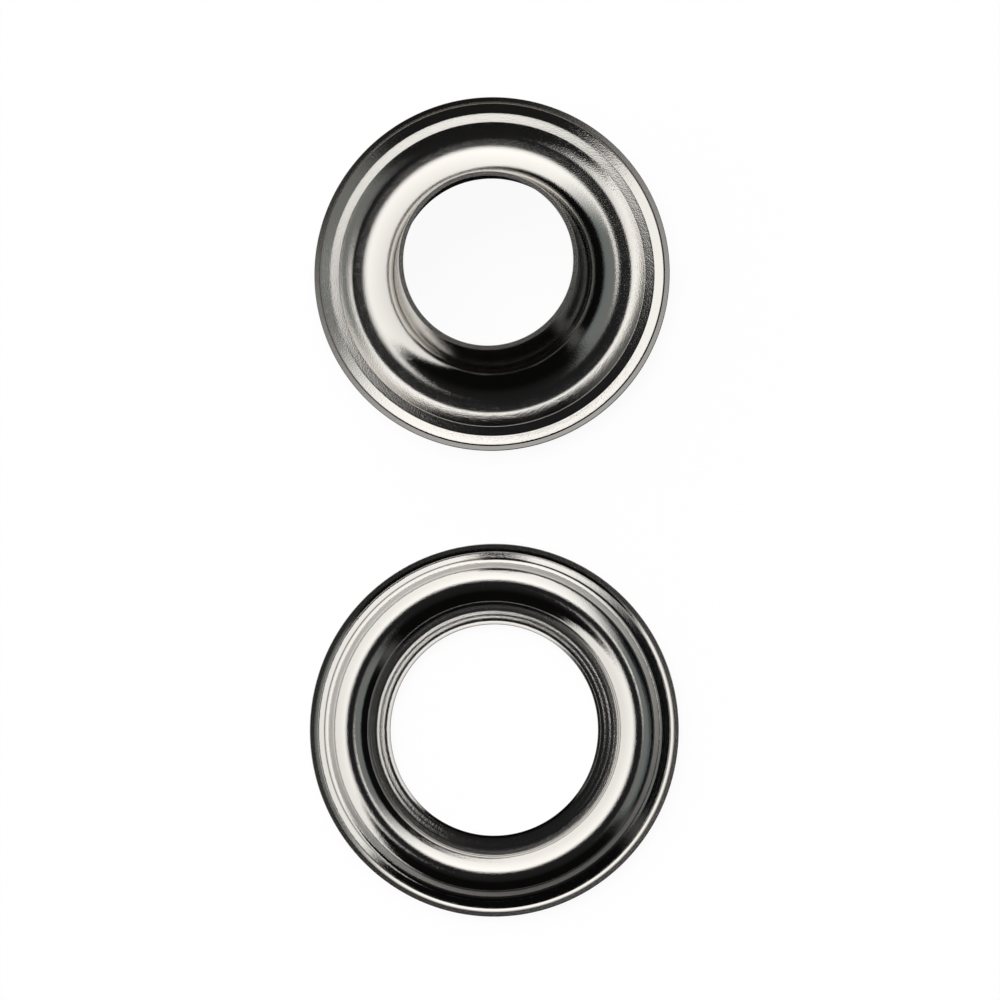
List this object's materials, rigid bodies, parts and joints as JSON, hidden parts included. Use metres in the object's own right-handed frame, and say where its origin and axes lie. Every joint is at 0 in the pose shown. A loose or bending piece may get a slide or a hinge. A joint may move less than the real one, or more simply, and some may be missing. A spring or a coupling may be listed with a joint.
{
  "type": "grommet eyelet",
  "caption": "Nickel-plated pressed grommet set for cloth: a flanged eyelet with a tapered barrel, and its domed washer, lying side by side unset.",
  "frame": {"origin": "middle of the pair's box, at the surface that both pieces rest on", "axes": "+Z up along both rings' axes, +Y from the washer to the eyelet, +X to the right seen from above with +Y up"},
  "size_m": [0.0216, 0.0478, 0.006],
  "materials": {
    "eyelet_plate": "bright nickel plate on pressed sheet, mirror-like with a fine grainy skin",
    "washer_plate": "bright nickel plate on pressed sheet, mirror-like, with fine drawn rings on the shelf around the hole"
  },
  "bodies": {
    "root": {"eyelet": "eyelet_plate", "washer": "washer_plate"}
  },
  "joints": []
}
